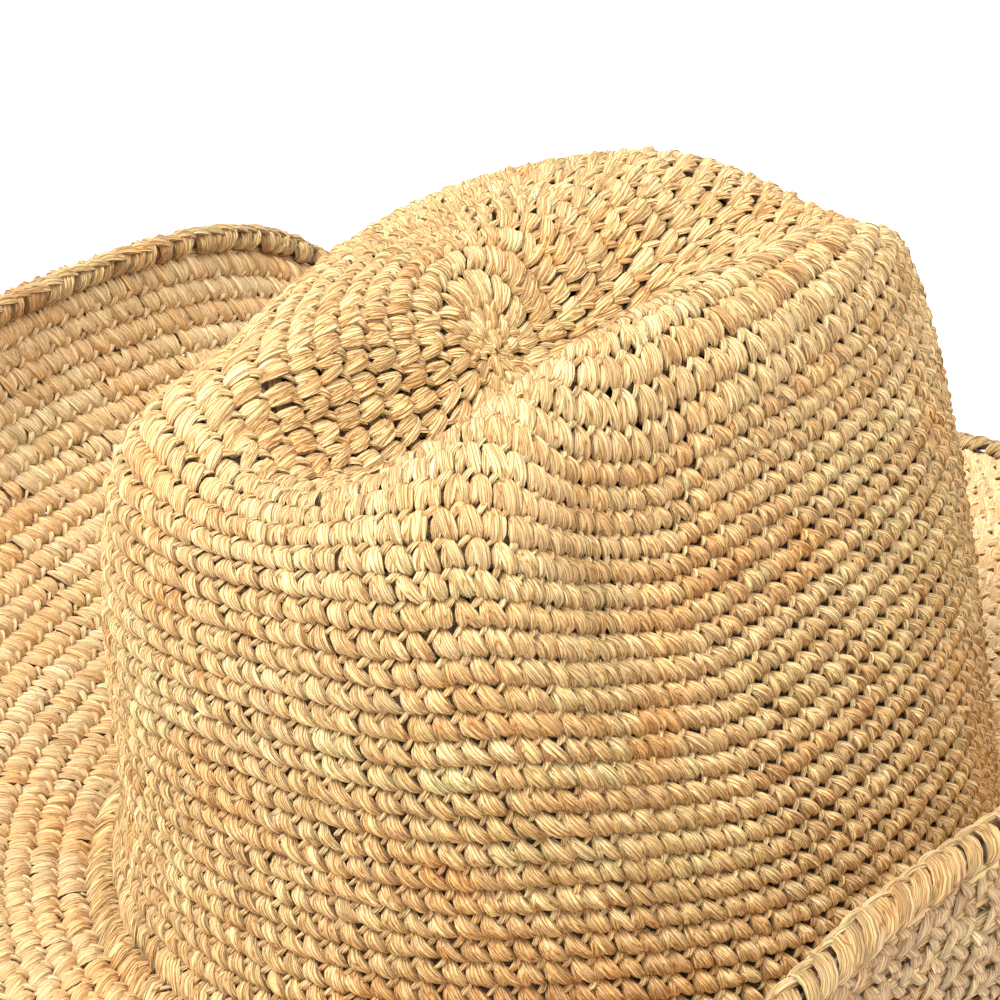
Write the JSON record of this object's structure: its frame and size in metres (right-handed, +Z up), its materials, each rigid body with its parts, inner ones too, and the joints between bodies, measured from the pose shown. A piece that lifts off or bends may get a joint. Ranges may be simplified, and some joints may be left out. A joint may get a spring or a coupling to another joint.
{
  "type": "cowboy hat",
  "caption": "Crocheted raffia cowboy hat with a creased crown, a wired brim curled up at both sides, an inner sweatband and a blank hinged label.",
  "frame": {"origin": "centre of the hat's plan box, on the surface that its rim rests on", "axes": "+Z up, -Y towards the front of the hat, +X towards the wearer's left side brim"},
  "size_m": [0.305, 0.4186, 0.1403],
  "materials": {
    "raffia_top": "hand-crocheted pale raffia straw, satin fibres",
    "raffia_side": "hand-crocheted raffia straw, tan patches, satin fibres",
    "raffia_brim": "hand-crocheted raffia straw, warm tan, satin fibres",
    "raffia_edge": "raffia wrapped over the shaping wire",
    "steel": "bright drawn wire",
    "ribbon": "matte ribbed ribbon, beige",
    "thread": "sewing thread, ecru",
    "woven": "blank woven tape, off-white"
  },
  "bodies": {
    "hat": {"crown_top": "raffia_top", "crown_side": "raffia_side", "brim": "raffia_brim", "brim_edge": "raffia_edge", "brim_wire": "steel", "wire_joiner": "steel", "sweatband": "ribbon", "sweatband_tab": "ribbon", "sweatband_thread": "thread", "label_thread": "thread"},
    "label": {"label": "woven"}
  },
  "joints": [
    {"name": "label_flap", "type": "hinge", "parent": "hat", "child": "label", "pos_m": [0.00396, 0.0863, 0.04037], "axis": [-1, 0, 0], "range_deg": [-6, 120]}
  ]
}
